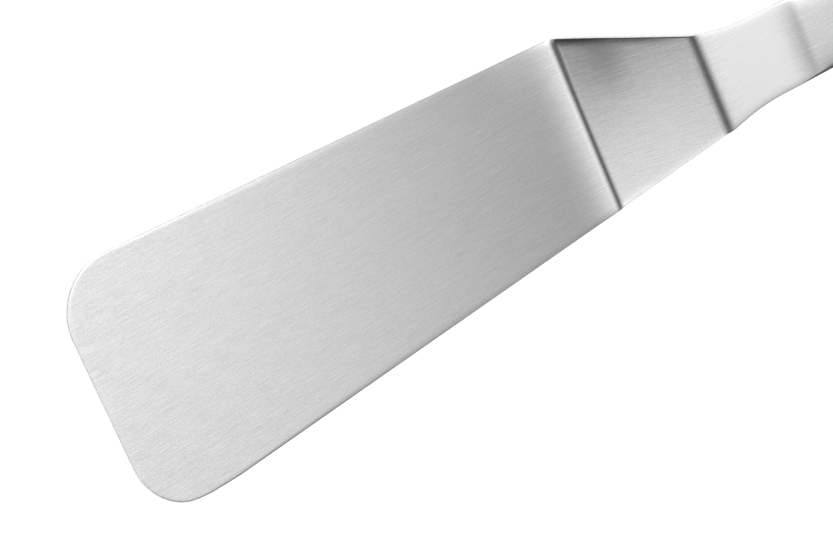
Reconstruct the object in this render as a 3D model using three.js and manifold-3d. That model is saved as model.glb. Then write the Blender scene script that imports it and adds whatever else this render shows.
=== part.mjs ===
// Angled spatula, all steel: a broad thin blade, cranked up to a narrow neck, with a hollow welded handle.
// Millimetres, +Z up. +X runs from the blade's front edge to the handle, and y = 0 is the plane of symmetry.
// The flat underside of the blade lies on z = 0 with its middle at the origin.
import * as THREE from 'three';
import { mergeVertices, toCreasedNormals } from 'three/addons/utils/BufferGeometryUtils.js';
import Module from 'manifold-3d';

const wasm = await Module();
wasm.setup();
const { lerp, smoothstep } = THREE.MathUtils;
const DEGREE = Math.PI / 180;

// Blade: a taper with round front corners, ground thinner toward its front edge
const bladeLength = 120; // front edge to the first bend line
const frontWidth = 55.8; // the side edges carried on to the front edge
const heelWidth = 39.9; // at the first bend line
const frontCornerRadius = 12.6;
const tipThickness = 0.8;
const heelThickness = 1.4;
const bladeEdgeShare = 0.3; // of half the thickness, taken up by the round edges of the blade,
const crankEdgeShare = 0.7; // and from the crank on
const tipRound = (tipThickness / 2) * bladeEdgeShare;

// Crank: the slope that lifts the neck. Bend lines are on the upper face, the runs of bends on the underside.
const crankLength = 28.8; // bend line to bend line
const crankAngle = 45 * DEGREE;
const firstBendRun = 15.9;
const firstFoldRun = 4.3; // the tight end of the first bend
const firstLeadShare = 0.235; // of the first bend's turn, taken by its slow lead-in
const secondBendRun = 6.3;
const secondFoldRun = 2.6; // the tight start of the second bend
const secondLeadShare = 0.245;

// Neck, with waisted edges, and the tang that continues it inside the handle
const neckLength = 26.4; // second bend line to the handle's mouth
const neckPitch = 10 * DEGREE;
const neckThickness = 1.6;
const waistWidth = 17.9;
const waistDistance = 14; // second bend line to the narrowest place
const waistEdgeRadius = 46;
const tangLength = 42;
const tangThickness = 1;
const tangCornerCut = 2.5;

// Handle: two pressed half shells that swell from the mouth to the palm and round off at the butt
const handleLength = 100;
const handleDroop = 6 * DEGREE; // pitch lost between the mouth and the butt
const shellWall = 0.7;
const mouthWidth = 18;
const mouthSpread = 0.02; // growth of the half width per millimetre at the mouth
const mouthRise = 0.05; // growth of the half height per millimetre at the mouth
const palmDistance = 66;
const palmWidth = 21.4;
const palmHeight = 12;
const buttWidth = 19.6;
const buttHeight = 10.4;
const buttRounding = 12;
const buttFullness = 2.3; // exponent of the rounding, seen from the side and from above
const mouthFullness = 4.5; // exponent of the cross section at the mouth,
const palmFullness = 2.4; // and at the palm

// Welds, and the clearances of what fits inside the handle
const weldLength = 10; // run of the ground weld on the neck, up to the mouth
const coveLength = 6; // the hollow that starts the weld, before its straight rise to the mouth
const seamWidth = 0.8;
const weldGap = 0.06; // between a weld and the steel that it joins
const tangClearance = 0.25;
const fillClearance = 0.3;

// Resolution of the faceted solids
const QUADRANT_STEPS = 8; // of a section's quarter, of which a round edge takes EDGE_STEPS
const EDGE_STEPS = 3;
const PATH_STEPS = 40; // of the sum that lays out a run
const CORNER_STEPS = 10;
const LEAD_STEPS = 5;
const FOLD_STEPS = 8;
const NECK_STEPS = 8;
const COVE_STEPS = 10;
const HANDLE_STEPS = 14;
const BUTT_STEPS = 7;
const SLAB_STEPS = 7;
const TANG_STEPS = 3;
const BUTT_SWEEP = 86 * DEGREE; // the last few degrees of the rounding are one small flat
const CREASE = 30 * DEGREE; // edges sharper than this are shaded as edges
const SAME_POINT = 1e-4;

/** Cubic from one value to another over t = 0 to 1, leaving and arriving at the given slopes. */
function ease(t, from, slopeFrom, to, slopeTo) {
  const t2 = t * t;
  const t3 = t2 * t;
  const start = from * (2 * t3 - 3 * t2 + 1) + slopeFrom * (t3 - 2 * t2 + t);
  return start + to * (3 * t2 - 2 * t3) + slopeTo * (t3 - t2);
}

/** Evenly spaced numbers from one value to another, both included. */
function spread(from, to, steps) {
  return Array.from({ length: steps + 1 }, (_, i) => lerp(from, to, i / steps));
}

/** Share of a bend's turn at a share t of its run: a slow lead-in, and a tight fold at its end. */
function leadAndFold(t, run, foldRun, leadShare) {
  const fold = smoothstep(t, 1 - foldRun / run, 1);
  return leadShare * t ** 3 + (1 - leadShare) * fold;
}

// Each shape gives the share of a run's turn at a share of its length
const steady = (t) => t;
const firstBend = (t) => leadAndFold(t, firstBendRun, firstFoldRun, firstLeadShare);
const secondBend = (t) => 1 - leadAndFold(1 - t, secondBendRun, secondFoldRun, secondLeadShare);

/** Place and pitch on one run, a distance past its start. */
function along({ start, length, turn, shape }, distance) {
  const step = distance / PATH_STEPS;
  const pitchAt = (travelled) => start.pitch + turn * shape(travelled / length);
  let { x, z } = start;
  for (let i = 0; i < PATH_STEPS; i += 1) {
    const pitch = pitchAt((i + 0.5) * step);
    x += step * Math.cos(pitch);
    z += step * Math.sin(pitch);
  }
  return { x, z, pitch: pitchAt(distance) };
}

/** Lengths on the upper face from a bend's line, where its two straights would meet, to its start and end. */
function bendReaches(bend, thickness) {
  const bendEnd = along({ start: { x: 0, z: 0, pitch: 0 }, ...bend }, bend.length);
  const x = bendEnd.x - thickness * Math.sin(bend.turn);
  const z = bendEnd.z - thickness * (1 - Math.cos(bend.turn));
  return { before: x - z / Math.tan(bend.turn), after: z / Math.sin(bend.turn) };
}

// The sheet's underside from the front edge to the butt. A turn up is positive.
const foldUp = { length: firstBendRun, turn: crankAngle, shape: firstBend };
const foldDown = { length: secondBendRun, turn: neckPitch - crankAngle, shape: secondBend };
const upReaches = bendReaches(foldUp, heelThickness);
const downReaches = bendReaches(foldDown, neckThickness);
const runs = [
  { length: bladeLength - upReaches.before, turn: 0, shape: steady },
  foldUp,
  { length: crankLength - upReaches.after - downReaches.before, turn: 0, shape: steady },
  foldDown,
  { length: neckLength - downReaches.after, turn: 0, shape: steady },
  { length: handleLength, turn: -handleDroop, shape: steady },
];
let end = { s: 0, x: -bladeLength / 2, z: 0, pitch: 0 };
for (const run of runs) {
  run.start = end;
  end = { s: run.start.s + run.length, ...along(run, run.length) };
}

/** The point at distance s along the sheet, y to the side, and h above the underside, square to it. */
function place(s, y, h) {
  const run = runs.findLast((candidate) => candidate.start.s <= s) ?? runs[0];
  const { x, z, pitch } = along(run, s - run.start.s);
  return new THREE.Vector3(x - h * Math.sin(pitch), y, z + h * Math.cos(pitch));
}

const [bladeStart, firstStart, crankStart, secondStart, neckStart, mouth] = runs.map((run) => run.start.s);
const firstFold = crankStart - firstFoldRun;
const firstBendLine = (firstFold + crankStart) / 2;
const secondFoldEnd = secondStart + secondFoldRun;
const secondBendLine = (secondStart + secondFoldEnd) / 2;
const weldStart = mouth - weldLength;
const neckMiddle = neckThickness / 2;
const weldRoot = (neckThickness - tangThickness) / 2; // depth of the bevel that the neck weld fills
const mouthHeight = tangThickness + 2 * (tangClearance + shellWall);

// The tang is as wide as the mouth lets it be
const mouthInside = { halfWidth: mouthWidth / 2 - shellWall, halfHeight: mouthHeight / 2 - shellWall };
const tangReach = 1 - (tangThickness / 2 / mouthInside.halfHeight) ** mouthFullness;
const tangHalfWidth = mouthInside.halfWidth * tangReach ** (1 / mouthFullness) - tangClearance;

// The front corners are arcs, tangent to the front edge and to the side edges
const sideAngle = Math.atan((frontWidth - heelWidth) / 2 / firstBendLine);
const sideHalfWidth = (s) => lerp(frontWidth, heelWidth, s / firstBendLine) / 2;
const cornerMiddle = sideHalfWidth(frontCornerRadius) - frontCornerRadius / Math.cos(sideAngle);
const cornerEnd = frontCornerRadius * (1 + Math.sin(sideAngle));

/** Half width of the neck, u past the second bend line. */
function neckHalfWidth(u) {
  const toWaist = Math.max(waistDistance - u, 0);
  return waistWidth / 2 + waistEdgeRadius - Math.sqrt(waistEdgeRadius ** 2 - toWaist ** 2);
}
const weldHalfWidth = neckHalfWidth(weldStart - secondBendLine);

/** Half width of the sheet at s, from the front edge to the end of the tang. */
function sheetHalfWidth(s) {
  if (s < cornerEnd) {
    return cornerMiddle + Math.sqrt(frontCornerRadius ** 2 - (frontCornerRadius - s) ** 2);
  }
  if (s < firstBendLine) return sideHalfWidth(s);
  if (s < secondBendLine) {
    const t = (s - firstBendLine) / (secondBendLine - firstBendLine);
    return lerp(heelWidth / 2, neckHalfWidth(0), t);
  }
  if (s <= weldStart) return neckHalfWidth(s - secondBendLine);
  const bevelled = weldHalfWidth - Math.min(s - weldStart, weldRoot);
  const shoulder = lerp(weldHalfWidth, tangHalfWidth, Math.min((s - weldStart) / weldLength, 1));
  const cornerCut = Math.max(s - (mouth + tangLength - tangCornerCut), 0);
  return Math.min(bevelled, shoulder) - cornerCut;
}

/** Thickness of the sheet at s. */
function sheetThickness(s) {
  if (s < tipRound) {
    const inset = tipRound - Math.sqrt(tipRound ** 2 - (tipRound - s) ** 2);
    return tipThickness - 2 * inset;
  }
  if (s < firstBendLine) return lerp(tipThickness, heelThickness, s / firstBendLine);
  if (s < secondStart) {
    return lerp(heelThickness, neckThickness, (s - firstBendLine) / (secondStart - firstBendLine));
  }
  return neckThickness - 2 * Math.max(Math.min(s - weldStart, weldRoot), 0);
}

/** Height of the sheet's middle above its underside path. */
function sheetMiddle(s) {
  if (s < tipRound) return tipThickness / 2;
  return s < secondStart ? sheetThickness(s) / 2 : neckMiddle;
}

/** Share of half the sheet's thickness that its round edges take up at s. */
const edgeShare = (s) => lerp(bladeEdgeShare, crankEdgeShare, smoothstep(s, firstFold, crankStart));

/** A quarter of a rectangle with round edges, from the side to the top, as [y, h] pairs about its middle. */
function rectangleQuadrant(halfWidth, halfHeight, share) {
  const edge = halfHeight * share;
  const arc = spread(0, Math.PI / 2, EDGE_STEPS).map((angle) => [
    halfWidth - edge + edge * Math.cos(angle),
    halfHeight - edge + edge * Math.sin(angle),
  ]);
  const topSteps = QUADRANT_STEPS - EDGE_STEPS - 1;
  const top = spread(halfWidth - edge, 0, topSteps).slice(1).map((y) => [y, halfHeight]);
  return [[halfWidth, 0], ...arc, ...top];
}

/** A quarter of a superellipse in the same form. */
function superellipseQuadrant(halfWidth, halfHeight, exponent) {
  return spread(0, Math.PI / 2, QUADRANT_STEPS).map((angle) => [
    halfWidth * Math.max(Math.cos(angle), 0) ** (2 / exponent),
    halfHeight * Math.sin(angle) ** (2 / exponent),
  ]);
}

/** The closed ring of points at s that mirrors a quadrant to all four sides of the middle. */
function ring(s, middle, quadrant) {
  const there = quadrant.slice(0, -1);
  const back = quadrant.slice(1).reverse();
  const flip = (points, sideY, sideH) => points.map(([y, h]) => place(s, sideY * y, middle + sideH * h));
  return [...flip(there, 1, 1), ...flip(back, -1, 1), ...flip(there, -1, -1), ...flip(back, 1, -1)];
}

/** A closed solid through rings of equal counts, with a fan at each end. */
function loft(rings) {
  const count = rings[0].length;
  const last = (rings.length - 1) * count;
  const middleOf = (points) => points.reduce((sum, p) => sum.add(p), new THREE.Vector3()).divideScalar(count);
  const points = [...rings.flat(), middleOf(rings[0]), middleOf(rings.at(-1))];
  const firstFan = rings.length * count;
  const index = [];
  for (let k = 0; k < count; k += 1) {
    const next = (k + 1) % count;
    for (let base = 0; base < last; base += count) {
      index.push(base + k, base + next, base + count + k);
      index.push(base + next, base + count + next, base + count + k);
    }
    index.push(firstFan, next, k);
    index.push(firstFan + 1, last + k, last + next);
  }
  const geometry = new THREE.BufferGeometry().setFromPoints(points);
  geometry.setIndex(index);
  return geometry;
}

/** A solid that can be cut, from a closed geometry. */
function solid(geometry) {
  const merged = mergeVertices(geometry, SAME_POINT);
  const vertProperties = new Float32Array(merged.attributes.position.array);
  const triVerts = new Uint32Array(merged.index.array);
  return new wasm.Manifold(new wasm.Mesh({ numProp: 3, vertProperties, triVerts }));
}

/** The geometry of a cut solid. */
function geometryOf(manifold) {
  const { vertProperties, triVerts } = manifold.getMesh();
  const geometry = new THREE.BufferGeometry();
  geometry.setAttribute('position', new THREE.BufferAttribute(vertProperties, 3));
  geometry.setIndex(new THREE.BufferAttribute(triVerts, 1));
  return geometry;
}

/** Ring of the sheet at s, grown all round for the slot that it passes through. */
function sheetRing(s, grow = 0) {
  const halfWidth = sheetHalfWidth(s) + grow;
  const halfHeight = sheetThickness(s) / 2 + grow;
  return ring(s, sheetMiddle(s), rectangleQuadrant(halfWidth, halfHeight, edgeShare(s)));
}

/** One stamped sheet: blade, crank, neck and tang. */
function bladeSheet() {
  const corner = spread(0, Math.PI / 2 + sideAngle, CORNER_STEPS)
    .map((angle) => frontCornerRadius * (1 - Math.cos(angle)))
    .filter((s) => s > 2 * tipRound);
  const bends = [
    ...spread(firstStart, firstFold, LEAD_STEPS),
    ...spread(firstFold, crankStart, FOLD_STEPS).slice(1),
    ...spread(secondStart, secondFoldEnd, FOLD_STEPS),
    ...spread(secondFoldEnd, neckStart, LEAD_STEPS).slice(1),
  ];
  const neck = spread(neckStart, weldStart, NECK_STEPS).slice(1);
  const tangEnd = mouth + tangLength;
  const tang = [weldStart + weldRoot, ...spread(mouth, tangEnd - tangCornerCut, TANG_STEPS), tangEnd];
  const stations = [bladeStart, tipRound / 3, tipRound, ...corner, ...bends, ...neck, ...tang];
  return loft(stations.map((s) => sheetRing(s)));
}

/** Half height of the neck weld at s: a hollow, then a straight rise to the mouth. */
function coveHalfHeight(s) {
  const straight = (toMouth) => mouthHeight / 2 - mouthRise * toMouth;
  const coveTop = straight(weldLength - coveLength);
  const t = (s - weldStart) / coveLength;
  return t > 1 ? straight(mouth - s) : ease(t, neckThickness / 2, 0, coveTop, mouthRise * coveLength);
}

/** Weld ring round the bevelled neck, ground to a cove that rises to the handle's mouth. */
function neckWeld() {
  const cove = spread(weldStart, mouth - weldGap, COVE_STEPS).map((s) => {
    const t = (s - weldStart) / weldLength;
    const halfHeight = coveHalfHeight(s);
    const halfWidth = ease(t, weldHalfWidth, 0, mouthWidth / 2, mouthSpread * weldLength);
    const flat = rectangleQuadrant(halfWidth, halfHeight, crankEdgeShare);
    const round = superellipseQuadrant(halfWidth, halfHeight, mouthFullness);
    const blend = smoothstep(t, 0, 1);
    const quadrant = flat.map(([y, h], i) => [lerp(y, round[i][0], blend), lerp(h, round[i][1], blend)]);
    return ring(s, neckMiddle, quadrant);
  });
  const slotStations = [weldStart - weldRoot, weldStart, weldStart + weldRoot, mouth, mouth + weldRoot];
  const slot = loft(slotStations.map((s) => sheetRing(s, weldGap)));
  return geometryOf(solid(loft(cove)).subtract(solid(slot)));
}

/** Half width or half height of the handle, d past the mouth, before the butt is rounded. */
function swell(d, atMouth, slope, atPalm, atButt) {
  if (d < palmDistance) return ease(d / palmDistance, atMouth, slope * palmDistance, atPalm, 0);
  const past = (d - palmDistance) / (handleLength - palmDistance);
  return lerp(atPalm, atButt, past * past);
}

/** Exponent of the handle's cross section, d past the mouth. */
const handleFullness = (d) => lerp(mouthFullness, palmFullness, smoothstep(d, 0, palmDistance));

/** Ring of the handle, d past the mouth and a depth inside its skin. */
function handleRing(d, depth) {
  const onHandle = Math.max(d, 0);
  const pastShoulder = Math.max(onHandle - (handleLength - buttRounding), 0) / (buttRounding - depth);
  const rounding = (1 - pastShoulder ** buttFullness) ** (1 / buttFullness);
  const halfWidth = swell(onHandle, mouthWidth / 2, mouthSpread, palmWidth / 2, buttWidth / 2) - depth;
  const halfHeight = swell(onHandle, mouthHeight / 2, mouthRise, palmHeight / 2, buttHeight / 2) - depth;
  const quadrant = superellipseQuadrant(halfWidth * rounding, halfHeight * rounding, handleFullness(d));
  return ring(mouth + d, neckMiddle, quadrant);
}

/** Distances past the mouth for rings from a first place to the end of the butt, a depth inside its skin. */
function handleStations(first, depth) {
  const shoulder = handleLength - buttRounding;
  const body = spread(0, shoulder, HANDLE_STEPS).slice(1, -1).filter((d) => d > first);
  const angles = spread(0, BUTT_SWEEP, BUTT_STEPS);
  const butt = angles.map((angle) => shoulder + (buttRounding - depth) * Math.sin(angle));
  return [first, ...body, ...butt];
}

/** The handle's skin, or a smaller body that lies a depth inside it. */
function handleBody(first, depth) {
  return loft(handleStations(first, depth).map((d) => handleRing(d, depth)));
}

/** A slab that follows the handle's parting plane and reaches past it on every side. */
function partingSlab(height) {
  const past = 2 * shellWall;
  const stations = spread(-past, handleLength + past, SLAB_STEPS);
  const quadrant = rectangleQuadrant(palmWidth / 2 + past, height / 2, crankEdgeShare);
  return solid(loft(stations.map((d) => ring(mouth + d, neckMiddle, quadrant))));
}

/** The two pressed half shells and the weld between them, from one hollow handle. */
function handleShells() {
  const hollow = solid(handleBody(-shellWall, shellWall));
  const tube = solid(handleBody(0, 0)).subtract(hollow);
  const halves = tube.subtract(partingSlab(seamWidth + 2 * weldGap)).decompose();
  const [lower, upper] = halves.sort((a, b) => a.boundingBox().max[2] - b.boundingBox().max[2]);
  const seam = tube.intersect(partingSlab(seamWidth));
  return { upper: geometryOf(upper), lower: geometryOf(lower), seam: geometryOf(seam) };
}

/** Loose fill behind the tang, as deep as the cavity. */
function sandBallast() {
  return handleBody(tangLength + fillClearance, shellWall + fillClearance);
}

/** A named piece with its own finish. */
function piece(name, geometry, color, roughness, metalness) {
  const material = new THREE.MeshStandardMaterial({ color, roughness, metalness });
  const mesh = new THREE.Mesh(toCreasedNormals(geometry, CREASE), material);
  mesh.name = name;
  return mesh;
}

const shells = handleShells();
const spatula = new THREE.Group();
spatula.name = 'angled_spatula';
spatula.add(
  piece('blade', bladeSheet(), 0xc8c9ca, 0.32, 1),
  piece('neck_weld', neckWeld(), 0xc4c5c6, 0.34, 1),
  piece('handle_upper_shell', shells.upper, 0xc8c9ca, 0.32, 1),
  piece('handle_lower_shell', shells.lower, 0xc8c9ca, 0.32, 1),
  piece('seam_weld', shells.seam, 0xc4c5c6, 0.34, 1),
  piece('sand_ballast', sandBallast(), 0xb7a27c, 0.95, 0),
);

export default spatula;
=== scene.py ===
"""Looks of an angled spatula in brushed steel: one cranked sheet and a hollow welded handle.

Metres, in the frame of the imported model. +X runs from the blade's front edge to the handle, +Z is up.
"""
import functools
import math
from typing import Callable, NamedTuple

import bmesh
import bpy
from mathutils import Euler, Matrix, Vector


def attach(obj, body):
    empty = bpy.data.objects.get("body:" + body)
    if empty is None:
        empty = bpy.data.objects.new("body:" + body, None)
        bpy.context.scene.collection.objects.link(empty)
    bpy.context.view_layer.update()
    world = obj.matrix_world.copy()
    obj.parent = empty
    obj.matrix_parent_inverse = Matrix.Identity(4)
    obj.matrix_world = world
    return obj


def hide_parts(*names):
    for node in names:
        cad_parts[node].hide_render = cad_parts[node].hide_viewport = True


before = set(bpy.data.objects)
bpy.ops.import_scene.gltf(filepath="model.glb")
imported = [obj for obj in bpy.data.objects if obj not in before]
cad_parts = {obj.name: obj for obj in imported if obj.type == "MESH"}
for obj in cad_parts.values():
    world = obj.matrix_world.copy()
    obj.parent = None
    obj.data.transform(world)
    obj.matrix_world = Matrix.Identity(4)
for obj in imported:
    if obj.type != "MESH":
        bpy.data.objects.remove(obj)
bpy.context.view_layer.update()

MM = 0.001
MICRON = 1e-6
DEGREE = math.pi / 180

# Blade
BLADE_LENGTH = 120 * MM
FRONT_WIDTH = 55.8 * MM
HEEL_WIDTH = 39.9 * MM
FRONT_CORNER_RADIUS = 12.6 * MM
CORNER_EASE = 0.45 * MM  # the -Y front corner runs out flatter into its side, most of all
CORNER_EASE_PLACE = 11.3 * MM  # this far from the front edge,
CORNER_EASE_BEFORE = 5.8 * MM  # and over these distances before and after it
CORNER_EASE_AFTER = 9 * MM
TIP_THICKNESS = 0.8 * MM
HEEL_THICKNESS = 1.4 * MM
BLADE_EDGE_SHARE = 0.2  # of half the thickness, taken up by the round edges of the blade,
CRANK_EDGE_SHARE = 0.5  # of the crank,
NECK_EDGE_SHARE = 0.12  # and of the neck
ROLL_WIDTH = 2.8 * MM  # the polished faces roll off over this distance before the round edge,
TIP_ROLL_WIDTH = 0.9 * MM  # and over this one at the side edges near the tip,
TIP_ROLL_RUN = 80 * MM  # from which it grows over this distance
ROLL_POWER = 5  # the roll-off's depth grows with this power
FRONT_ROLL_DROP = 0.03 * MM  # its depth at the front edge
DEEP_ROLL_PLACE = 48 * MM  # where the blade's side edges roll off the most
EDGE_LIFT = 0.2 * MM  # the blade's +Y edge rises a touch into the first bend
EDGE_LIFT_RUN = 18 * MM
EDGE_SINK = 0.2 * MM  # and the crank's sinks a touch past it
EDGE_SINK_RUN = 6.5 * MM
EDGE_BULGE = 0.27 * MM  # and all along it stands out a touch to the side

# Crank and its bends, whose lines are on the upper face and whose runs are on the underside
CRANK_LENGTH = 28.8 * MM
CRANK_ANGLE = 45 * DEGREE
FIRST_BEND_RUN = 15.9 * MM
FIRST_FOLD_RUN = 4.3 * MM  # the tight end of the first bend
FIRST_LEAD_SHARE = 0.205  # of the first bend's turn, taken by its slow lead-in
SECOND_BEND_RUN = 6.3 * MM
SECOND_FOLD_RUN = 2.6 * MM  # the tight start of the second bend
SECOND_LEAD_SHARE = 0.245
OUTLINE_BLEND = 1.0 * MM  # half the stretch over which the outline turns at the first bend line

# Neck and tang
NECK_LENGTH = 26.4 * MM
NECK_PITCH = 10 * DEGREE
NECK_THICKNESS = 1.6 * MM
WAIST_WIDTH = 17.9 * MM
WAIST_DISTANCE = 14 * MM
WAIST_EDGE_RADIUS = 46 * MM
TANG_LENGTH = 42 * MM
TANG_THICKNESS = 1.0 * MM
TANG_CORNER = 2.5 * MM
TANG_CLEARANCE = 0.25 * MM

# Handle
HANDLE_LENGTH = 100 * MM
HANDLE_DROOP = 6 * DEGREE
SHELL_WALL = 0.7 * MM
MOUTH_WIDTH = 18.0 * MM
MOUTH_SPREAD = 0.02
MOUTH_RISE = 0.06
MOUTH_HEIGHT = TANG_THICKNESS + 2 * (TANG_CLEARANCE + SHELL_WALL)
PALM_DISTANCE = 66 * MM
PALM_WIDTH = 21.4 * MM
PALM_HEIGHT = 12 * MM
BUTT_WIDTH = 19.6 * MM
BUTT_HEIGHT = 10.4 * MM
BUTT_ROUNDING = 12 * MM
BUTT_FULLNESS = 2.3
MOUTH_FULLNESS = 4.0  # exponent of the cross section at the mouth,
PALM_FULLNESS = 2.4  # and at the palm

# Welds
WELD_LENGTH = 10 * MM
WALL_SHARE = 0.1  # of the dots on a quarter of a flat section, up its side wall,
ARC_SHARE = 0.4  # and up to the end of its round edge
COVE_START = 0.9 * MM  # past the start of the weld, which is feathered out on the neck
COVE_LENGTH = 4.5 * MM  # the hollow, which steepens all along
COVE_BLEND = 1.9 * MM  # from the hollow to the straight rise that ends at the mouth
SEAM_WIDTH = 0.8 * MM

# Resolution of the meshes
SAME_POINT = 0.0005 * MM
SLOPE_STEP = 0.01 * MM
TURN_STEP = 0.02  # of a quarter turn, for slopes round a section
PATH_STEPS = 60
CORNER_STEPS = 28
FACE_STEPS = 24
RIM_STEPS = 14
EDGE_STEPS = 10
BLADE_STEPS = 30
LEAD_STEPS = 24
FOLD_STEPS = 32
CRANK_STEPS = 14
NECK_STEPS = 28
COVE_STEPS = 28
QUADRANT_STEPS = 30
HANDLE_STEPS = 70
BUTT_STEPS = 30
ARC_STEPS = 72
SEAM_STEPS = 4


def lerp(a, b, t):
    return a + (b - a) * t


def smooth(t):
    """An S-shaped step from 0 to 1."""
    t = min(max(t, 0), 1)
    return t * t * (3 - 2 * t)


def ease(t, start, slope_start, end, slope_end):
    """A cubic from one value to another over t = 0 to 1, leaving and arriving at the given slopes."""
    t2 = t * t
    t3 = t2 * t
    leaving = start * (2 * t3 - 3 * t2 + 1) + slope_start * (t3 - 2 * t2 + t)
    return leaving + end * (3 * t2 - 2 * t3) + slope_end * (t3 - t2)


def spread(start, end, steps):
    """Evenly spaced numbers from one value to another, both included."""
    return [lerp(start, end, i / steps) for i in range(steps + 1)]


def steady(t):
    return t


def lead_and_fold(t, run, fold_run, lead_share):
    """Share of a bend's turn at a share t of its run: a slow lead-in, and a tight fold at its end."""
    fold = 1 - (1 - t) * run / fold_run
    return lead_share * t**3 + (1 - lead_share) * smooth(fold)


def first_bend(t):
    return lead_and_fold(t, FIRST_BEND_RUN, FIRST_FOLD_RUN, FIRST_LEAD_SHARE)


def second_bend(t):
    return 1 - lead_and_fold(1 - t, SECOND_BEND_RUN, SECOND_FOLD_RUN, SECOND_LEAD_SHARE)


class Run(NamedTuple):
    """A stretch of the underside. Its shape gives the share of its turn at a share of its length."""

    s: float
    x: float
    z: float
    pitch: float
    length: float
    turn: float
    shape: Callable

    def at(self, distance):
        """Place and pitch, a distance past the start."""
        x, z = self.x, self.z
        step = distance / PATH_STEPS
        for i in range(PATH_STEPS):
            pitch = self.pitch + self.turn * self.shape((i + 0.5) * step / self.length)
            x += step * math.cos(pitch)
            z += step * math.sin(pitch)
        return x, z, self.pitch + self.turn * self.shape(distance / self.length)


def reaches(length, turn, shape, sheet):
    """Lengths on the upper face from a bend's line to its start and its end.

    The line is where the two straights would meet.
    """
    x, z, _ = Run(0, 0, 0, 0, length, turn, shape).at(length)
    x -= sheet * math.sin(turn)
    z -= sheet * (1 - math.cos(turn))
    return x - z / math.tan(turn), z / math.sin(turn)


def lay_runs():
    """The underside from the front edge to the butt. A turn up is positive."""
    down = NECK_PITCH - CRANK_ANGLE
    blade_reach, crank_reach = reaches(FIRST_BEND_RUN, CRANK_ANGLE, first_bend, HEEL_THICKNESS)
    slope_reach, neck_reach = reaches(SECOND_BEND_RUN, down, second_bend, NECK_THICKNESS)
    stretches = [
        (BLADE_LENGTH - blade_reach, 0, steady),
        (FIRST_BEND_RUN, CRANK_ANGLE, first_bend),
        (CRANK_LENGTH - crank_reach - slope_reach, 0, steady),
        (SECOND_BEND_RUN, down, second_bend),
        (NECK_LENGTH - neck_reach, 0, steady),
        (HANDLE_LENGTH, -HANDLE_DROOP, steady),
    ]
    runs = []
    s, x, z, pitch = 0, -BLADE_LENGTH / 2, 0, 0
    for length, turn, shape in stretches:
        runs.append(Run(s, x, z, pitch, length, turn, shape))
        x, z, pitch = runs[-1].at(length)
        s += length
    return runs


RUNS = lay_runs()
_, LEAD_START, CRANK_START, SECOND_START, NECK_START, MOUTH = [run.s for run in RUNS]
FIRST_FOLD = CRANK_START - FIRST_FOLD_RUN
FIRST_BEND_LINE = (FIRST_FOLD + CRANK_START) / 2
SECOND_FOLD_END = SECOND_START + SECOND_FOLD_RUN
SECOND_BEND_LINE = (SECOND_START + SECOND_FOLD_END) / 2
WELD_START = MOUTH - WELD_LENGTH
WELD_ROOT = (NECK_THICKNESS - TANG_THICKNESS) / 2
NECK_MIDDLE = NECK_THICKNESS / 2
TANG_END = MOUTH + TANG_LENGTH


@functools.cache
def path_at(s):
    """Place and pitch of the underside at s."""
    run = next((run for run in reversed(RUNS) if run.s <= s), RUNS[0])
    return run.at(s - run.s)


def stray(s, y):
    """Share by which the sheet is wider on one side: above 0 on the crank, below 0 at the -Y corner."""
    if y > 0:
        grown = smooth((s - FIRST_FOLD) / FIRST_FOLD_RUN)
        left = 1 - smooth((s - SECOND_START) / SECOND_FOLD_RUN)
        return EDGE_BULGE * grown * left / (HEEL_WIDTH / 2)
    past = s - CORNER_EASE_PLACE
    run = CORNER_EASE_BEFORE if past < 0 else CORNER_EASE_AFTER
    return -CORNER_EASE * smooth(1 - abs(past) / run) / (FRONT_WIDTH / 2)


def place(s, y, h):
    """The point at s along the sheet, y to the side and h above the underside, square to it."""
    x, z, pitch = path_at(s)
    return Vector((x - h * math.sin(pitch), y * (1 + stray(s, y)), z + h * math.cos(pitch)))


def aim(s, along, side, up):
    """A unit vector given along the sheet at s, to the side and square to it."""
    pitch = path_at(s)[2]
    x = along * math.cos(pitch) - up * math.sin(pitch)
    z = along * math.sin(pitch) + up * math.cos(pitch)
    return Vector((x, side, z)).normalized()


class Dot(NamedTuple):
    """A corner of a face: its place, its normal, and how far it is along and across the brushed grain."""

    place: Vector
    normal: Vector | None
    grain: tuple


class Skin:
    """A closed mesh of grids that share their edges, with a normal and a grain for each face's corners."""

    def __init__(self):
        self.known = {}
        self.places = []
        self.faces = []

    def index(self, point):
        key = tuple(round(c / SAME_POINT) for c in point)
        if key not in self.known:
            self.known[key] = len(self.places)
            self.places.append(point)
        return self.known[key]

    def face(self, dots):
        corners = {self.index(dot.place): dot for dot in dots}
        if len(corners) > 2:
            self.faces.append(corners)

    def grid(self, rows):
        """Faces between rows of equally many dots. Where dots coincide, a face loses a corner."""
        for row, later in zip(rows, rows[1:]):
            for i in range(len(row) - 1):
                self.face([row[i], row[i + 1], later[i + 1], later[i]])

    def make(self, name):
        """The finished piece, with its faces turned outward."""
        mesh = bpy.data.meshes.new(name)
        mesh.from_pydata(self.places, [], [list(corners) for corners in self.faces], shade_flat=False)
        shape = bmesh.new()
        shape.from_mesh(mesh)
        bmesh.ops.recalc_face_normals(shape, faces=shape.faces)
        shape.to_mesh(mesh)
        shape.free()
        normals = []
        grain = mesh.attributes.new("grain", "FLOAT_VECTOR", "CORNER")
        for polygon, corners in zip(mesh.polygons, self.faces):
            for loop in polygon.loop_indices:
                dot = corners[mesh.loops[loop].vertex_index]
                normals.append(dot.normal or polygon.normal)
                grain.data[loop].vector = dot.grain
        mesh.normals_split_custom_set(normals)
        piece = bpy.data.objects.new(name, mesh)
        bpy.context.scene.collection.objects.link(piece)
        return piece


# The sheet's outline and faces

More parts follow.
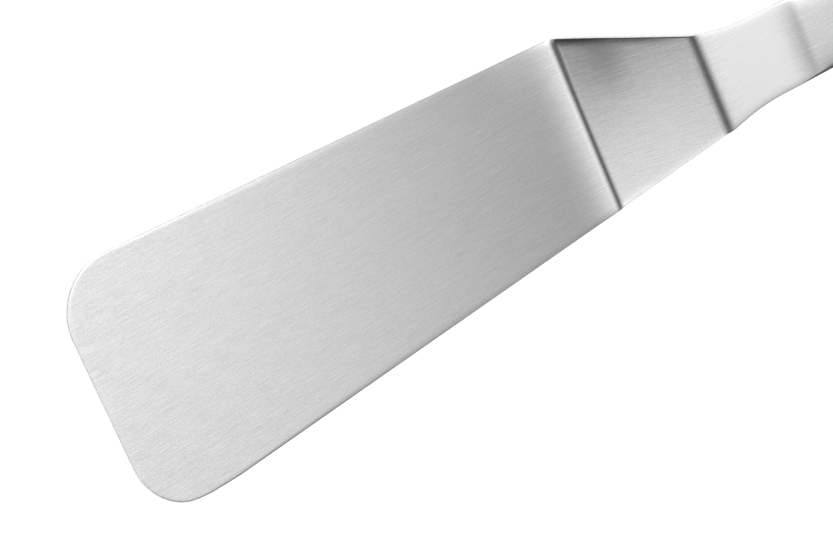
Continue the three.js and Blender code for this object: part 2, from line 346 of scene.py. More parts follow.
SIDE_SLOPE = (HEEL_WIDTH - FRONT_WIDTH) / 2 / FIRST_BEND_LINE
SIDE_ANGLE = -math.atan(SIDE_SLOPE)
CORNER_MIDDLE = (
    FRONT_WIDTH / 2 + SIDE_SLOPE * FRONT_CORNER_RADIUS - FRONT_CORNER_RADIUS / math.cos(SIDE_ANGLE)
)
CORNER_END = FRONT_CORNER_RADIUS * (1 + math.sin(SIDE_ANGLE))


def neck_half_width(u):
    """Half width of the neck, u past the second bend line."""
    to_waist = max(WAIST_DISTANCE - u, 0)
    return WAIST_WIDTH / 2 + WAIST_EDGE_RADIUS - math.sqrt(WAIST_EDGE_RADIUS**2 - to_waist**2)


CRANK_SLOPE = (neck_half_width(0) - HEEL_WIDTH / 2) / (SECOND_BEND_LINE - FIRST_BEND_LINE)
WELD_HALF_WIDTH = neck_half_width(WELD_START - SECOND_BEND_LINE)


def side_half_width(s):
    """Half width between the front corners and the neck weld."""
    if s > SECOND_BEND_LINE:
        return neck_half_width(s - SECOND_BEND_LINE)
    past = s - FIRST_BEND_LINE
    if past < -OUTLINE_BLEND:
        return HEEL_WIDTH / 2 + SIDE_SLOPE * past
    if past > OUTLINE_BLEND:
        return HEEL_WIDTH / 2 + CRANK_SLOPE * past
    turned = (past + OUTLINE_BLEND) ** 2 / (4 * OUTLINE_BLEND)
    return HEEL_WIDTH / 2 + SIDE_SLOPE * past + (CRANK_SLOPE - SIDE_SLOPE) * turned


def thickness(s):
    """Thickness of the sheet, which is bevelled under the neck weld."""
    if s < FIRST_BEND_LINE:
        return lerp(TIP_THICKNESS, HEEL_THICKNESS, s / FIRST_BEND_LINE)
    if s < SECOND_START:
        past = (s - FIRST_BEND_LINE) / (SECOND_START - FIRST_BEND_LINE)
        return lerp(HEEL_THICKNESS, NECK_THICKNESS, past)
    return NECK_THICKNESS - 2 * max(min(s - WELD_START, WELD_ROOT), 0)


def middle(s):
    """Height of the sheet's middle above its underside path."""
    return thickness(s) / 2 if s < SECOND_START else NECK_MIDDLE


def edge_round(s):
    """Radius of the round edge."""
    crank_share = lerp(BLADE_EDGE_SHARE, CRANK_EDGE_SHARE, smooth((s - FIRST_FOLD) / FIRST_FOLD_RUN))
    share = lerp(crank_share, NECK_EDGE_SHARE, smooth((s - SECOND_START) / SECOND_FOLD_RUN))
    return share * thickness(s) / 2


def nearest_edge(s, y):
    """Distance of a place on the sheet from its outline, and the Y part of the direction out to it."""
    aside = abs(y)
    if s < CORNER_END and aside > CORNER_MIDDLE:
        reach = math.hypot(s - FRONT_CORNER_RADIUS, aside - CORNER_MIDDLE)
        return FRONT_CORNER_RADIUS - reach, math.copysign((aside - CORNER_MIDDLE) / reach, y)
    left = side_half_width(s) - aside
    return (s, 0) if s < left else (left, math.copysign(1, y))


ROLL_DROPS = [  # places along the sheet, with the depth of the roll-off at the +Y and the -Y edge
    (0, 0.06 * MM, 0.07 * MM),
    (DEEP_ROLL_PLACE, 0.10 * MM, 0.10 * MM),
    (LEAD_START, 0.04 * MM, 0.04 * MM),
    (FIRST_FOLD, 0.10 * MM, 0.07 * MM),
    (CRANK_START, 0.18 * MM, 0.09 * MM),
    ((CRANK_START + SECOND_START) / 2, 0.05 * MM, 0.035 * MM),
    (SECOND_START, 0.005 * MM, 0.03 * MM),
    (SECOND_FOLD_END, 0.035 * MM, 0.10 * MM),
    (WELD_START + COVE_LENGTH, 0.035 * MM, 0.10 * MM),
    (MOUTH, 0, 0),
]


def roll_drop(s, facing):
    """Depth of the roll-off where the face meets the round edge."""
    column = 1 if facing > 0 else 2
    side_drop = 0
    for start, end in zip(ROLL_DROPS, ROLL_DROPS[1:]):
        if start[0] <= s < end[0]:
            side_drop = lerp(start[column], end[column], smooth((s - start[0]) / (end[0] - start[0])))
    return lerp(FRONT_ROLL_DROP, side_drop, smooth(abs(facing)))


def roll_width(s, facing):
    """Distance before the round edge over which the face rolls off."""
    side_width = lerp(TIP_ROLL_WIDTH, ROLL_WIDTH, smooth(s / TIP_ROLL_RUN))
    return lerp(ROLL_WIDTH, side_width, smooth(abs(facing)))


def roll_depth(s, facing, inside):
    """How far the face has come down, a distance inside the round edge."""
    rolled = min(max(1 - inside / roll_width(s, facing), 0), 1)
    return roll_drop(s, facing) * rolled**ROLL_POWER


def roll_tilt(s, facing):
    """Angle that the face has rolled off to where it meets the round edge."""
    return math.atan(ROLL_POWER * roll_drop(s, facing) / roll_width(s, facing))


def edge_lift(s, y):
    """Extra height toward the +Y edge: above 0 before the first bend, and below 0 past its fold."""
    grown = smooth((s - FIRST_BEND_LINE + EDGE_LIFT_RUN) / EDGE_LIFT_RUN)
    left = 1 - smooth((s - FIRST_BEND_LINE) / (CRANK_START - FIRST_BEND_LINE))
    sunk = smooth(1 - abs(s - CRANK_START - EDGE_SINK_RUN) / EDGE_SINK_RUN)
    return (EDGE_LIFT * grown * left - EDGE_SINK * sunk) * (max(y, 0) / (HEEL_WIDTH / 2)) ** 2


def face_height(s, y, side):
    """Height of the upper (side = 1) or lower (side = -1) face, which rolls off toward the round edge."""
    distance, facing = nearest_edge(s, y)
    drop = roll_depth(s, facing, distance - edge_round(s))
    return middle(s) + edge_lift(s, y) + side * (thickness(s) / 2 - drop)


def face_dot(s, y, side):
    """A dot on a face. Before the neck weld, its slope leaves out the bevel that starts there."""
    ahead = s + SLOPE_STEP
    if s < WELD_START + SAME_POINT:
        ahead = min(ahead, WELD_START)
    behind = s - SLOPE_STEP
    rise_along = (face_height(ahead, y, side) - face_height(behind, y, side)) / (ahead - behind)
    rise_side = face_height(s, y + SLOPE_STEP, side) - face_height(s, y - SLOPE_STEP, side)
    normal = aim(s, -side * rise_along, -side * rise_side / (2 * SLOPE_STEP), side)
    return Dot(place(s, y, face_height(s, y, side)), normal, (s, y, side))


class Rim(NamedTuple):
    """A place on the +Y side where a face meets the round edge, and the edge's direction out and radius."""

    s: float
    y: float
    out_along: float
    out_side: float
    radius: float


def corner_rims(middle_s, middle_y, radius, start, end):
    """Rims of a rounded corner. An angle of 0 faces the front."""
    rims = []
    for angle in spread(start, end, CORNER_STEPS):
        along, side = -math.cos(angle), math.sin(angle)
        edge = edge_round(middle_s + radius * along)
        inner = radius - edge
        rims.append(Rim(middle_s + inner * along, middle_y + inner * side, along, side, edge))
    return rims


def side_rim(s, half_width, slope):
    length = math.hypot(1, slope)
    along, side = -slope / length, 1 / length
    edge = edge_round(s)
    return Rim(s - edge * along, half_width - edge * side, along, side, edge)


def sheet_rims():
    """The outline from the middle of the front edge, along +Y, to the end of the tang."""
    rims = corner_rims(
        FRONT_CORNER_RADIUS, CORNER_MIDDLE, FRONT_CORNER_RADIUS, 0, math.pi / 2 + SIDE_ANGLE
    )
    stations = [
        *spread(CORNER_END, LEAD_START, BLADE_STEPS)[1:],
        *spread(LEAD_START, FIRST_FOLD, LEAD_STEPS)[1:],
        *spread(FIRST_FOLD, CRANK_START, FOLD_STEPS)[1:],
        *spread(CRANK_START, SECOND_START, CRANK_STEPS)[1:],
        *spread(SECOND_START, SECOND_FOLD_END, FOLD_STEPS)[1:],
        *spread(SECOND_FOLD_END, NECK_START, LEAD_STEPS)[1:],
        *spread(NECK_START, WELD_START, NECK_STEPS)[1:],
    ]
    for s in stations:
        rise = side_half_width(s + SLOPE_STEP) - side_half_width(s - SLOPE_STEP)
        rims.append(side_rim(s, side_half_width(s), rise / (2 * SLOPE_STEP)))
    root = WELD_HALF_WIDTH - WELD_ROOT
    inside = MOUTH_WIDTH / 2 - SHELL_WALL
    share = TANG_THICKNESS / (MOUTH_HEIGHT - 2 * SHELL_WALL)
    tang = inside * (1 - share**MOUTH_FULLNESS) ** (1 / MOUTH_FULLNESS) - TANG_CLEARANCE
    for s, half_width in [(WELD_START + WELD_ROOT, root), (MOUTH, tang)]:
        rims.append(side_rim(s, half_width, 0))
    rims += corner_rims(TANG_END - TANG_CORNER, tang - TANG_CORNER, TANG_CORNER, math.pi / 2, math.pi)
    return rims


def across(half_width):
    """Places across the sheet, closer together near its edges."""
    rim = [half_width - ROLL_WIDTH * t * t for t in spread(0, 1, RIM_STEPS)]
    core = spread(rim[-1], -rim[-1], FACE_STEPS)[1:-1]
    return [*rim, *core, *[-y for y in reversed(rim)]]


def edge_profile(rim, y, out_side):
    """Dots down the round edge, from the upper face to the lower one."""
    dots = []
    tilt = roll_tilt(rim.s, out_side)
    for side in (1, -1):
        for angle in spread(tilt, math.pi / 2, EDGE_STEPS)[::side]:
            out, up = math.sin(angle), math.cos(angle)
            h = face_height(rim.s, y, side) - side * rim.radius * (math.cos(tilt) - up)
            reach = rim.radius * (out - math.sin(tilt)) / (1 - math.sin(tilt))
            along, aside = reach * rim.out_along, reach * out_side
            spot = place(rim.s, y + aside, h) + aim(rim.s, 1, 0, 0) * along
            normal = aim(rim.s, out * rim.out_along, out * out_side, side * up)
            dots.append(Dot(spot, normal, (rim.s + along, y + aside, side)))
    return dots


def blade_sheet():
    """Blade, crank, neck and tang, one stamped sheet."""
    skin = Skin()
    rims = sheet_rims()
    for side in (1, -1):
        skin.grid([[face_dot(rim.s, y, side) for y in across(rim.y)] for rim in rims])
    skin.grid([edge_profile(rim, rim.y, rim.out_side) for rim in rims])
    skin.grid([edge_profile(rim, -rim.y, -rim.out_side) for rim in rims])
    for end in (rims[0], rims[-1]):
        skin.grid([edge_profile(end, y, 0) for y in across(end.y)])
    return skin.make("blade_sheet")


# The neck weld

def rectangle_quadrant(half_width, half_height, q):
    """A place on a quarter of a rectangle with round edges, from the side (q = 0) to the top (q = 1)."""
    radius = NECK_EDGE_SHARE * half_height
    if q < WALL_SHARE:
        return half_width, (half_height - radius) * q / WALL_SHARE
    if q < ARC_SHARE:
        angle = math.pi / 2 * (q - WALL_SHARE) / (ARC_SHARE - WALL_SHARE)
        return (
            half_width - radius + radius * math.cos(angle),
            half_height - radius + radius * math.sin(angle),
        )
    return (half_width - radius) * (1 - q) / (1 - ARC_SHARE), half_height


def superellipse_quadrant(half_width, half_height, exponent, q):
    """The same for a superellipse."""
    angle = q * math.pi / 2
    power = 2 / exponent
    return half_width * max(math.cos(angle), 0) ** power, half_height * math.sin(angle) ** power


def around(quadrant, turn):
    """The place at a turn from 0 to 4 quarters round a section, from +Y over the top."""
    q = turn % 2
    y, h = quadrant(q if q <= 1 else 2 - q)
    return (y if turn <= 1 or turn > 3 else -y), (h if turn <= 2 else -h)


COVE_TOP = MOUTH_HEIGHT / 2 - MOUTH_RISE * (WELD_LENGTH - COVE_START - COVE_LENGTH - COVE_BLEND)
COVE_SLOPE = (2 * COVE_TOP - NECK_THICKNESS - MOUTH_RISE * COVE_BLEND) / (COVE_LENGTH + COVE_BLEND)


def cove_half_height(s):
    """Half height of the weld: the neck's, then a hollow, eased into a straight rise to the mouth."""
    u = max(s - WELD_START - COVE_START, 0)
    hollow = NECK_THICKNESS / 2 + COVE_SLOPE * min(u, COVE_LENGTH) ** 2 / (2 * COVE_LENGTH)
    past = max(u - COVE_LENGTH, 0)
    w = min(past / COVE_BLEND, 1)
    eased = COVE_BLEND * (w**3 - w**4 / 2) + max(past - COVE_BLEND, 0)
    return hollow + COVE_SLOPE * past + (MOUTH_RISE - COVE_SLOPE) * eased


def weld_place(s, y, h, half_width, half_height):
    """A point of the weld's section, which rolls off toward its sides as the neck does."""
    inside = half_width - NECK_EDGE_SHARE * half_height - abs(y)
    left = 1 - roll_depth(s, math.copysign(1, y), inside) / half_height
    return place(s, y, NECK_MIDDLE + h * left)


def cove_place(s, turn):
    """A point on the weld's outside, which changes from the neck's flat section to the handle's."""
    t = (s - WELD_START) / WELD_LENGTH
    half_height = cove_half_height(s)
    half_width = ease(t, WELD_HALF_WIDTH, 0, MOUTH_WIDTH / 2, MOUTH_SPREAD * WELD_LENGTH)
    blend = smooth(t)

    def quadrant(q):
        flat = rectangle_quadrant(half_width, half_height, q)
        rounded = superellipse_quadrant(half_width, half_height, MOUTH_FULLNESS, q)
        return lerp(flat[0], rounded[0], blend), lerp(flat[1], rounded[1], blend)

    y, h = around(quadrant, turn)
    return weld_place(s, y, h, half_width, half_height)


def slot_place(s, turn):
    """A point on the weld's inside, on the bevel and the tang."""
    half_width = WELD_HALF_WIDTH - min(s - WELD_START, WELD_ROOT)
    half_height = thickness(s) / 2
    y, h = around(lambda q: rectangle_quadrant(half_width, half_height, q), turn)
    return weld_place(s, y, h, half_width, half_height)


def neck_weld():
    """A ring round the bevelled neck, ground to a cove that rises to the handle's mouth."""
    skin = Skin()
    turns = spread(0, 4, 4 * QUADRANT_STEPS)

    def outer(s, turn):
        along = cove_place(s + SLOPE_STEP, turn) - cove_place(s - SLOPE_STEP, turn)
        round_it = cove_place(s, (turn + TURN_STEP) % 4) - cove_place(s, (turn - TURN_STEP) % 4)
        spot = cove_place(s, turn)
        return Dot(spot, round_it.cross(along).normalized(), (s, spot.y, 1))

    def inner(s, turn):
        return Dot(slot_place(s, turn), None, (s, 0, 0))

    outside = [[outer(s, turn) for turn in turns] for s in spread(WELD_START, MOUTH, COVE_STEPS)]
    inside = [[inner(s, turn) for turn in turns] for s in (WELD_START, WELD_START + WELD_ROOT, MOUTH)]
    skin.grid(outside)
    skin.grid(inside)
    skin.grid([outside[-1], inside[-1]])
    return skin.make("neck_weld_cove")


# The handle

SHOULDER = HANDLE_LENGTH - BUTT_ROUNDING


def swell(d, at_mouth, slope, at_palm, at_butt):
    """Half width or half height of the handle, d past the mouth, before the butt is rounded."""
    if d < PALM_DISTANCE:
        return ease(d / PALM_DISTANCE, at_mouth, slope * PALM_DISTANCE, at_palm, 0)
    past = (d - PALM_DISTANCE) / (HANDLE_LENGTH - PALM_DISTANCE)
    return lerp(at_palm, at_butt, past * past)


def handle_half_sizes(d, depth):
    """Half width and half height, d past the mouth and a depth inside the skin."""
    half_width = swell(d, MOUTH_WIDTH / 2, MOUTH_SPREAD, PALM_WIDTH / 2, BUTT_WIDTH / 2)
    half_height = swell(d, MOUTH_HEIGHT / 2, MOUTH_RISE, PALM_HEIGHT / 2, BUTT_HEIGHT / 2)
    return half_width - depth, half_height - depth


def fullness(d):
    """Exponent of the handle's cross section, d past the mouth."""
    return lerp(MOUTH_FULLNESS, PALM_FULLNESS, smooth(d / PALM_DISTANCE))


def rounding(d, depth):
    """What is left of the section, d past the mouth, where the butt rounds off."""
    past = min(max(d - SHOULDER, 0) / (BUTT_ROUNDING - depth), 1)
    return (1 - past**BUTT_FULLNESS) ** (1 / BUTT_FULLNESS)


def fill_of(d, y, h):
    """Under 1 inside the handle's skin, 1 on it and above 1 outside."""
    half_width, half_height = handle_half_sizes(d, 0)
    past = max(d - SHOULDER, 0) / BUTT_ROUNDING
    power = fullness(d)
    section = (abs(y) / half_width) ** power + (abs(h) / half_height) ** power
    return section ** (BUTT_FULLNESS / power) + past**BUTT_FULLNESS


def handle_dot(d, y, h, depth, across_grain):
    """A dot of the handle, shaded smooth where it is on the skin."""
    spot = place(MOUTH + d, y, NECK_MIDDLE + h)
    normal = None
    if depth == 0:
        step = SLOPE_STEP
        along = fill_of(d + step, y, h) - fill_of(d - step, y, h)
        side = fill_of(d, y + step, h) - fill_of(d, y - step, h)
        up = fill_of(d, y, h + step) - fill_of(d, y, h - step)
        normal = aim(MOUTH + d, along, side, up)
    return Dot(spot, normal, (MOUTH + d, across_grain, 1))


def butt_reach(height, depth):
    """Share of the butt's rounding at which the skin has come down to a height."""
    half_height = BUTT_HEIGHT / 2 - depth
    return (1 - (height / half_height) ** BUTT_FULLNESS) ** (1 / BUTT_FULLNESS)


def handle_distances(height, depth):
    """Distances past the mouth, up to where the butt's skin has come down to a height."""
    body = spread(0, SHOULDER, HANDLE_STEPS)
    reach = (BUTT_ROUNDING - depth) * butt_reach(height, depth)
    butt = [SHOULDER + reach * math.sin(angle) for angle in spread(0, math.pi / 2, BUTT_STEPS)]
    return [*body, *butt[1:]]


def shell_rows(side, depth):
    """Rows of dots over one half shell, from one seam edge over the crest to the other."""
    rows = []
    edge = SEAM_WIDTH / 2
    for d in handle_distances(edge, depth):
        half_width, half_height = (size * rounding(d, depth) for size in handle_half_sizes(d, depth))
        low = math.asin(min(edge / half_height, 1) ** (fullness(d) / 2))
        row = []
        for angle in spread(low, math.pi - low, ARC_STEPS):
            q = angle / (math.pi / 2)
            y, h = around(lambda q: superellipse_quadrant(half_width, half_height, fullness(d), q), q)
            crest = (half_height - h) * math.copysign(1, y)
            row.append(handle_dot(d, y, side * h, depth, y + crest))
        rows.append(row)
    return rows


def bare(dot):
    """The same dot on a face that is shaded flat."""
    return dot._replace(normal=None)


def handle_shell(name, side):
    """One pressed half shell, the upper (side = 1) or the lower (side = -1)."""
    skin = Skin()
    outside = shell_rows(side, 0)
    inside = shell_rows(side, SHELL_WALL)
    skin.grid(outside)
    skin.grid(inside)
    for end in (0, -1):
        skin.grid([[bare(out[end]), bare(into[end])] for out, into in zip(outside, inside)])
        skin.grid([[bare(dot) for dot in outside[end]], [bare(dot) for dot in inside[end]]])
    return skin.make(name)


def seam_rows(depth):
    """Rows of dots along the seam, down one side of the handle, round the butt and back."""
    rows = []
    for h in spread(-SEAM_WIDTH / 2, SEAM_WIDTH / 2, SEAM_STEPS):
        there = []
        for d in handle_distances(abs(h), depth):
            half_width, half_height = handle_half_sizes(d, depth)
            power = fullness(d)
            section = rounding(d, depth) ** power - (abs(h) / half_height) ** power
            there.append((d, half_width * max(section, 0) ** (1 / power)))
        there[-1] = (there[-1][0], 0)
        row = [handle_dot(d, y, h, depth, y + h) for d, y in there]
        row += [handle_dot(d, -y, h, depth, -y - h) for d, y in reversed(there[:-1])]
        rows.append(row)
    return rows


def seam_weld():
    """The weld between the shells, ground flush."""
    skin = Skin()
    outside = seam_rows(0)
    inside = seam_rows(SHELL_WALL)
    skin.grid(outside)
    skin.grid(inside)
    for row in (0, -1):
        skin.grid([[bare(dot) for dot in outside[row]], [bare(dot) for dot in inside[row]]])
    for column in (0, -1):
        skin.grid([[bare(out[column]), bare(into[column])] for out, into in zip(outside, inside)])
    return skin.make("seam_weld_line")


# Finishes

class Value:
    """A socket's number, which takes part in Python expressions and adds their Math nodes."""

    def __init__(self, graph, socket):
        self.graph = graph
        self.socket = socket

    def math(self, operation, *terms):
        return self.graph.node("ShaderNodeMath", {"operation": operation}, dict(enumerate(terms)))

    def __add__(self, other):
        return self.math("ADD", self, other)

    def __sub__(self, other):
        return self.math("SUBTRACT", self, other)

    def __rsub__(self, other):
        return self.math("SUBTRACT", other, self)

    def __mul__(self, other):
        return self.math("MULTIPLY", self, other)

    __radd__ = __add__
    __rmul__ = __mul__

    def step(self, low, high):
        """0 below low, 1 above high, and smooth between them."""
        settings = {"interpolation_type": "SMOOTHSTEP"}
        sockets = {"Value": self, "From Min": low, "From Max": high}
        return self.graph.node("ShaderNodeMapRange", settings, sockets)

    def profile(self, stops):
        """A height for each number from -1 to 1, with straight lines between the stops."""
        ramp = self.graph.node("ShaderNodeValToRGB", {}, {"Fac": 0.5 * self + 0.5})
        elements = ramp.socket.node.color_ramp.elements
        while len(elements) < len(stops):
            elements.new(1.0)
        for element, (number, height) in zip(elements, stops):
            element.position = 0.5 * number + 0.5
            element.color = (height, height, height, 1)
        return ramp


class Graph:
    """The node tree of a material or of the world."""

    def __init__(self, tree):
        self.tree = tree
        tree.nodes.clear()

    def node(self, kind, settings, sockets, out=0):
        node = self.tree.nodes.new(kind)
        for name, value in settings.items():
            setattr(node, name, value)
        for name, value in sockets.items():
            if isinstance(value, Value):
                self.tree.links.new(value.socket, node.inputs[name])
            else:
                node.inputs[name].default_value = value
        return Value(self, node.outputs[out]) if node.outputs else node


def new_finish(name):
    material = bpy.data.materials.new(name)
    material.use_nodes = True
    return material, Graph(material.node_tree)


def blend_colours(graph, share, first, second):
    sockets = {0: share, 6: (*first, 1), 7: (*second, 1)}
    return graph.node("ShaderNodeMix", {"data_type": "RGBA"}, sockets, out=2)


class Strokes(NamedTuple):
    """Marks of about one length and width along the grain. The seed sets them apart from the others."""

    length: float
    width: float
    seed: float
    detail: float = 1.0


FINE_STROKES = Strokes(5.0 * MM, 0.12 * MM, 3.1)
COARSE_STROKES = Strokes(16 * MM, 0.22 * MM, 17.4)
SPECKS = Strokes(0.26 * MM, 0.2 * MM, 57.7)
CLOUDS = Strokes(30 * MM, 10 * MM, 29.8)
SCRATCHES = Strokes(12 * MM, 0.15 * MM, 41.2, 0.0)
SCRATCH_RANGE = (0.76, 0.84)  # only the noise's peaks are scratches
TONE_RANGE = (0.29, 0.71)  # from the darkest to the lightest mark
ROUGHNESS_SPREAD = 0.03
BRUSH_RELIEF = 1 * MICRON
GRAIN_CONTRAST = [  # of the marks, by the distance along the tool
    (0, 1.3),
    (40 * MM, 0.95),
    (90 * MM, 0.75),
    (FIRST_FOLD, 0.75),
    (CRANK_START, 1.0),
    (SECOND_START, 1.0),
    (NECK_START, 0.3),
    (WELD_START, 0.3),
    (WELD_START + COVE_START, 0.9),
]
PAINTED_SHADE_ALONG_TOOL = [(WELD_START, 0.5), (MOUTH, 0.2)]  # painted shade: the steel's colour darkens over the weld toward the mouth and stays a little darker on the handle than on the sheet
STEEL_DARK = (0.60, 0.60, 0.60)
STEEL_LIGHT = (0.80, 0.80, 0.80)
SHEET_ROUGHNESS = 0.19
WELD_ROUGHNESS = 0.20
HANDLE_ROUGHNESS = 0.20


def grain_of(graph):
    """The distances along and across the brushed grain that each mesh carries."""
    return graph.node("ShaderNodeAttribute", {"attribute_name": "grain"}, {}, out="Vector")


def marks(graph, strokes):
    """Noise drawn out along the grain into strokes: 0.5 on average."""
    scale = (1 / strokes.length, 1 / strokes.width, 1)
    shift = (strokes.seed, 0, strokes.seed)
    grain = grain_of(graph)
    stretched = graph.node("ShaderNodeVectorMath", {"operation": "MULTIPLY"}, {0: grain, 1: scale})
    moved = graph.node("ShaderNodeVectorMath", {"operation": "ADD"}, {0: stretched, 1: shift})
    sockets = {"Vector": moved, "Scale": 1.0, "Detail": strokes.detail}
    return graph.node("ShaderNodeTexNoise", {}, sockets)


def brushed_steel(name, roughness):
    """Steel brushed along the tool, with a few longer scratches, and painted shade that darkens it over the
    weld and the handle.
    """
    material, graph = new_finish(name)
    fine = marks(graph, FINE_STROKES)
    coarse = marks(graph, COARSE_STROKES)
    speck = marks(graph, SPECKS)
    cloud = marks(graph, CLOUDS)
    scratch = marks(graph, SCRATCHES).step(*SCRATCH_RANGE)
    height = 0.8 * fine + 0.2 * coarse - 0.6 * scratch
    tone = (0.4 * fine + 0.15 * coarse + 0.4 * speck + 0.05 * cloud).step(*TONE_RANGE)
    along = graph.node("ShaderNodeSeparateXYZ", {}, {"Vector": grain_of(graph)}, out="X")
    contrast = along.profile(GRAIN_CONTRAST)
    # the base colour mixes the grain's tone with painted shade along the tool, darker over the weld and the
    # handle
    tone_and_painted_shade = along.profile(PAINTED_SHADE_ALONG_TOOL) + contrast * (tone - 0.5)
    relief = {"Strength": 1.0, "Distance": BRUSH_RELIEF, "Height": contrast * height}
    bump = graph.node("ShaderNodeBump", {}, relief)
    steel = graph.node(
        "ShaderNodeBsdfPrincipled",
        {},
        {
            "Base Color": blend_colours(graph, tone_and_painted_shade, STEEL_DARK, STEEL_LIGHT),
            "Metallic": 1.0,
            "Roughness": roughness + ROUGHNESS_SPREAD * (coarse - 0.5) + ROUGHNESS_SPREAD * (cloud - 0.5),
            "Normal": bump,
        },
    )
    graph.node("ShaderNodeOutputMaterial", {}, {"Surface": steel})
    return material


SAND_GRAIN = 0.6 * MM
SAND_PATCH = 1.1 * MM
SAND_RELIEF = 0.2 * MM
SAND_TONE_RANGE = (0.2, 0.7)
SAND_DARK = (0.33, 0.24, 0.13)
SAND_LIGHT = (0.62, 0.50, 0.33)
SAND_ROUGHNESS = 0.95


def quartz_sand():
    """Loose dry sand: grains of several tones, matt."""
    material, graph = new_finish("quartz_sand")
    spots = graph.node("ShaderNodeTexCoord", {}, {}, out="Object")
    grains = graph.node("ShaderNodeTexVoronoi", {}, {"Vector": spots, "Scale": 1 / SAND_GRAIN})
    patches = graph.node("ShaderNodeTexNoise", {}, {"Vector": spots, "Scale": 1 / SAND_PATCH})
    tone = (0.5 * patches + 0.5 * grains).step(*SAND_TONE_RANGE)
    relief = {"Strength": 1.0, "Distance": SAND_RELIEF, "Height": 1 - grains}
    bump = graph.node("ShaderNodeBump", {}, relief)
    sand = graph.node(
        "ShaderNodeBsdfPrincipled",
        {},
        {
            "Base Color": blend_colours(graph, tone, SAND_DARK, SAND_LIGHT),
            "Roughness": SAND_ROUGHNESS,
            "Normal": bump,
        },
    )
    graph.node("ShaderNodeOutputMaterial", {}, {"Surface": sand})
    return material


# The studio

FLOOR_SIZE = 6.0
FLOOR_GAP = 0.2 * MM
FLOOR_TONE = 0.8
FLOOR_LIFT = 0.7  # light added for what looks straight at the floor, so that it shows white
CAMERA_AIM = Vector((12.091, -10.224, -0.185)) * MM
CAMERA_DISTANCE = 696.34 * MM
CAMERA_AZIMUTH = 143.812 * DEGREE
CAMERA_ELEVATION = 61.456 * DEGREE
CAMERA_ROLL = 99.045 * DEGREE
CAMERA_SENSOR = 36.0
CAMERA_LENS = 147.97
TENT_GLOW = [  # brightness of the tent toward each x direction
    (-0.90, 0.25),
    (-0.80, 0.25),
    (-0.70, 0.36),
    (-0.60, 0.27),
    (-0.50, 0.14),
    (-0.40, 0.14),
    (-0.30, 0.21),
    (-0.20, 0.37),
    (0.00, 0.76),
    (0.20, 1.14),
    (0.28, 1.12),
    (0.34, 1.05),
    (0.36, 0.93),
    (0.40, 0.48),
    (0.46, 0.29),
    (0.55, 0.20),
    (0.60, 0.22),
    (0.70, 0.70),
]
TIP_LEAN = [  # share of that glow toward each y direction, on the tip's side
    (-0.300, 1.35),
    (-0.285, 1.17),
    (-0.270, 1.00),
    (-0.255, 0.82),
    (-0.240, 0.72),
    (-0.060, 0.50),
    (0.120, 0.20),
]
OVERHEAD_LEAN = [  # and overhead
    (-0.90, 0.06),
    (-0.70, 0.15),
    (-0.55, 0.55),
    (-0.40, 0.80),
    (-0.32, 0.92),
    (-0.28, 1.00),
    (-0.24, 1.14),
    (0.00, 1.72),
    (0.30, 1.85),
    (0.60, 1.40),
]
OVERHEAD_RANGE = (-0.5, -0.2)  # x directions over which the tip's side gives way to what is overhead
LEAN_LOSS = 0.6  # share of the overhead lean that is lost toward the handle's side,
LEAN_LOSS_RANGE = (0.34, 0.46)  # over these x directions
FAR_GLOW = 0.35  # added to the tent's far +Y side,
FAR_RANGE = (0.55, 0.75)  # over these y directions
FAR_START = (-0.5, -0.35)  # and from these x directions
FAR_END = (0.0, 0.2)  # to these
SIDE_PLACE = Vector((-0.167, -0.291, 0.165))  # of a softbox on the tip's -Y side
SIDE_AIM = Vector((0.07, 0, 0.015))
SIDE_SIZE = (0.50, 0.34)
SIDE_GLOW = 0.41
CORE_PLACE = Vector((-0.168, -0.277, 0.143))  # of its bright core, just in front of it
CORE_SIZE = (0.458, 0.193)
CORE_GLOW = 0.49


def sees_backdrop(graph):
    """1 for rays that look straight at a backdrop, in a mirror or through glass, and 0 for the rest."""
    kinds = ("Is Camera Ray", "Is Glossy Ray", "Is Transmission Ray")
    camera, glossy, through = (graph.node("ShaderNodeLightPath", {}, {}, out=kind) for kind in kinds)
    return camera.math("MAXIMUM", camera.math("MAXIMUM", camera, glossy), through)


def pale_floor():
    """A wide pale floor under the spatula, which shows white and keeps the shadow."""
    mesh = bpy.data.meshes.new("floor")
    half = FLOOR_SIZE / 2
    corners = [(x, y, -FLOOR_GAP) for x, y in ((-half, -half), (half, -half), (half, half), (-half, half))]
    mesh.from_pydata(corners, [], [(0, 1, 2, 3)])
    floor = bpy.data.objects.new("floor", mesh)
    bpy.context.scene.collection.objects.link(floor)
    material, graph = new_finish("pale_floor")
    matt = graph.node("ShaderNodeBsdfDiffuse", {}, {"Color": (FLOOR_TONE, FLOOR_TONE, FLOOR_TONE, 1)})
    lift = graph.node("ShaderNodeEmission", {}, {"Strength": FLOOR_LIFT * sees_backdrop(graph)})
    both = graph.node("ShaderNodeAddShader", {}, {0: matt, 1: lift})
    graph.node("ShaderNodeOutputMaterial", {}, {"Surface": both})
    mesh.materials.append(material)


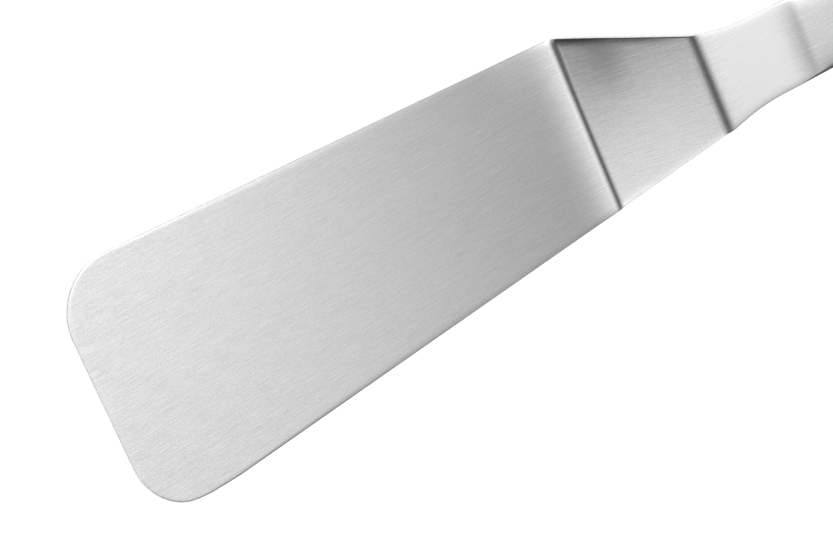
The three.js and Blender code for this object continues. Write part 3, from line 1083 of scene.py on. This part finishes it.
def studio_light():
    """A tent that is bright overhead and dimmer round the sides, and a softbox with a bright core."""
    world = bpy.data.worlds.new("studio")
    world.use_nodes = True
    graph = Graph(world.node_tree)
    direction = graph.node("ShaderNodeTexCoord", {}, {}, out="Generated")
    toward, sideways = (
        graph.node("ShaderNodeSeparateXYZ", {}, {"Vector": direction}, out=axis) for axis in "XY"
    )
    over = toward.step(*OVERHEAD_RANGE)
    tip_lean = sideways.profile(TIP_LEAN)
    kept = 1 - LEAN_LOSS * toward.step(*LEAN_LOSS_RANGE)
    lean = 1 + (sideways.profile(OVERHEAD_LEAN) - 1) * kept
    far = FAR_GLOW * sideways.step(*FAR_RANGE) * toward.step(*FAR_START) * (1 - toward.step(*FAR_END))
    tent = toward.profile(TENT_GLOW) * (over * lean + (1 - over) * tip_lean) + far
    seen = graph.node("ShaderNodeLightPath", {}, {}, out="Is Camera Ray")
    strength = seen + (1 - seen) * tent
    light = graph.node("ShaderNodeBackground", {}, {"Color": (1, 1, 1, 1), "Strength": strength})
    graph.node("ShaderNodeOutputWorld", {}, {"Surface": light})
    bpy.context.scene.world = world

    softbox("side_softbox", SIDE_PLACE, SIDE_AIM, SIDE_SIZE, SIDE_GLOW)
    softbox("side_softbox_core", CORE_PLACE, SIDE_AIM, CORE_SIZE, CORE_GLOW)


def softbox(name, spot, target, size, glow):
    """A flat lamp that faces a target. Its glow is its brightness as seen, where 1 is white."""
    lamp = bpy.data.lights.new(name, "AREA")
    lamp.shape = "RECTANGLE"
    lamp.size, lamp.size_y = size
    lamp.energy = math.pi * size[0] * size[1] * glow
    box = bpy.data.objects.new(name, lamp)
    box.location = spot
    box.rotation_euler = (target - spot).to_track_quat("-Z", "Y").to_euler()
    box.visible_camera = False
    bpy.context.scene.collection.objects.link(box)


def photo_camera():
    """The camera at the photograph's viewing angle."""
    lens = bpy.data.cameras.new("camera")
    lens.sensor_width = CAMERA_SENSOR
    lens.lens = CAMERA_LENS
    camera = bpy.data.objects.new("camera", lens)
    turn = Euler((math.pi / 2 - CAMERA_ELEVATION, 0, CAMERA_AZIMUTH + math.pi / 2)).to_matrix()
    roll = Matrix.Rotation(CAMERA_ROLL, 3, "Z")
    camera.matrix_world = (turn @ roll).to_4x4()
    camera.location = CAMERA_AIM + turn @ Vector((0, 0, CAMERA_DISTANCE))
    bpy.context.scene.collection.objects.link(camera)
    bpy.context.scene.camera = camera


def dress(piece, node, finish):
    """The piece stands for a CAD node and wears a finish."""
    piece.data.materials.append(finish)
    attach(piece, "root")
    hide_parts(node)


sheet_finish = brushed_steel("brushed_sheet", SHEET_ROUGHNESS)
weld_finish = brushed_steel("ground_weld", WELD_ROUGHNESS)
handle_finish = brushed_steel("brushed_handle", HANDLE_ROUGHNESS)
dress(blade_sheet(), "blade", sheet_finish)
dress(neck_weld(), "neck_weld", weld_finish)
dress(handle_shell("handle_top_skin", 1), "handle_upper_shell", handle_finish)
dress(handle_shell("handle_under_skin", -1), "handle_lower_shell", handle_finish)
dress(seam_weld(), "seam_weld", weld_finish)
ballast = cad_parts["sand_ballast"]
ballast.data.materials.clear()
ballast.data.materials.append(quartz_sand())

pale_floor()
studio_light()
photo_camera()
bpy.context.scene.view_settings.view_transform = "Standard"
